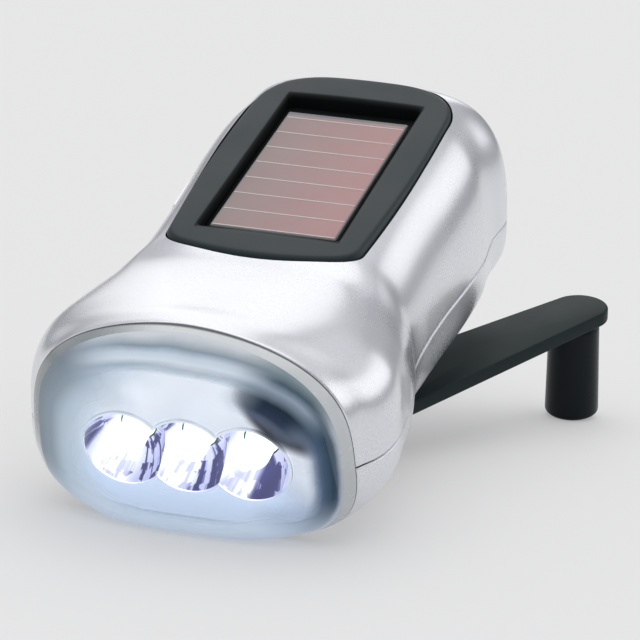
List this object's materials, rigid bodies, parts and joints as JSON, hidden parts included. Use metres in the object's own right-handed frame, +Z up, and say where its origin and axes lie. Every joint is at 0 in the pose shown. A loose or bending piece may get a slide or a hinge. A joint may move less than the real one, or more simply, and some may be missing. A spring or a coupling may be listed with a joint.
{
  "type": "hand crank flashlight",
  "caption": "Hand crank and solar flashlight: silver waisted body, clear bubble lens over lamps, dark framed solar panel and a fold out crank with a knob.",
  "frame": {"origin": "bottom centre of the bounding box, on the surface the flashlight rests on", "axes": "+Z up, +Y from the lens to the tail, +X to the right side where the crank stands out; the housing is pitched front down as in the picture"},
  "size_m": [0.076, 0.1288, 0.0616],
  "materials": {
    "silver_paint": "satin metallic paint on moulded plastic",
    "slate_plastic": "satin dark slate plastic",
    "solar_cell": "amorphous cell with pale strip lines",
    "clear_plastic": "clear moulded plastic",
    "mirror_plating": "vacuum plated plastic",
    "led_resin": "clear resin lamp, lit",
    "circuit_board": "green board",
    "gear_plastic": "natural acetal",
    "brass": "turned",
    "steel": "plain steel"
  },
  "bodies": {
    "housing": {"upper_shell": "silver_paint", "lower_shell": "silver_paint", "solar_frame": "slate_plastic", "solar_cell": "solar_cell", "lens_cover": "clear_plastic", "reflector": "mirror_plating", "led_board": "circuit_board", "led_left": "led_resin", "led_centre": "led_resin", "led_right": "led_resin", "shaft_bush": "brass", "gearbox_plate": "steel", "generator_case": "steel", "circuit_board": "circuit_board", "idler_axle_1": "steel", "idler_axle_2": "steel", "battery_cell_1": "steel", "battery_cell_2": "steel", "battery_cell_3": "steel", "shell_screw_1": "steel", "shell_screw_2": "steel", "shell_screw_3": "steel", "shell_screw_4": "steel", "switch_rail": "silver_paint"},
    "switch": {"switch_slider": "slate_plastic"},
    "crank": {"crank_hub": "slate_plastic", "crank_shaft": "steel", "crank_screw": "steel", "crank_gear": "gear_plastic"},
    "arm": {"crank_arm": "slate_plastic", "hinge_pin": "steel", "knob_pin": "steel"},
    "knob": {"knob_grip": "slate_plastic"},
    "first_gear": {"first_gear": "gear_plastic"},
    "second_gear": {"second_gear": "gear_plastic"},
    "rotor": {"rotor": "steel"}
  },
  "joints": [
    {"name": "crank_spin", "type": "hinge", "parent": "housing", "child": "crank", "pos_m": [-0.007, -0.01061, 0.01265], "axis": [0, -0.2198, 0.9755], "continuous": true},
    {"name": "arm_fold", "type": "hinge", "parent": "crank", "child": "arm", "pos_m": [-0.00191, -0.00065, 0.00762], "axis": [-0.8607, 0.4966, 0.1119], "range_deg": [0, 150]},
    {"name": "knob_spin", "type": "hinge", "parent": "arm", "child": "knob", "pos_m": [0.03204, 0.05709, 0.01253], "axis": [0, -0.2198, 0.9755], "continuous": true},
    {"name": "first_gear_spin", "type": "hinge", "parent": "housing", "child": "first_gear", "pos_m": [-0.016, -0.00059, 0.02106], "axis": [0, -0.2198, 0.9755], "continuous": true},
    {"name": "second_gear_spin", "type": "hinge", "parent": "housing", "child": "second_gear", "pos_m": [-0.0025, 0.00464, 0.02429], "axis": [0, -0.2198, 0.9755], "continuous": true},
    {"name": "rotor_spin", "type": "hinge", "parent": "housing", "child": "rotor", "pos_m": [0.004, -0.00976, 0.02822], "axis": [0, -0.2198, 0.9755], "continuous": true},
    {"name": "switch_slide", "type": "slide", "parent": "housing", "child": "switch", "axis": [0, 0.9755, 0.2198], "range_m": [0, 0.005]}
  ],
  "couplings": [
    {"joint": "first_gear_spin", "follows": "crank_spin", "ratio": -2.5},
    {"joint": "second_gear_spin", "follows": "crank_spin", "ratio": 6.25},
    {"joint": "rotor_spin", "follows": "crank_spin", "ratio": -15.625}
  ]
}
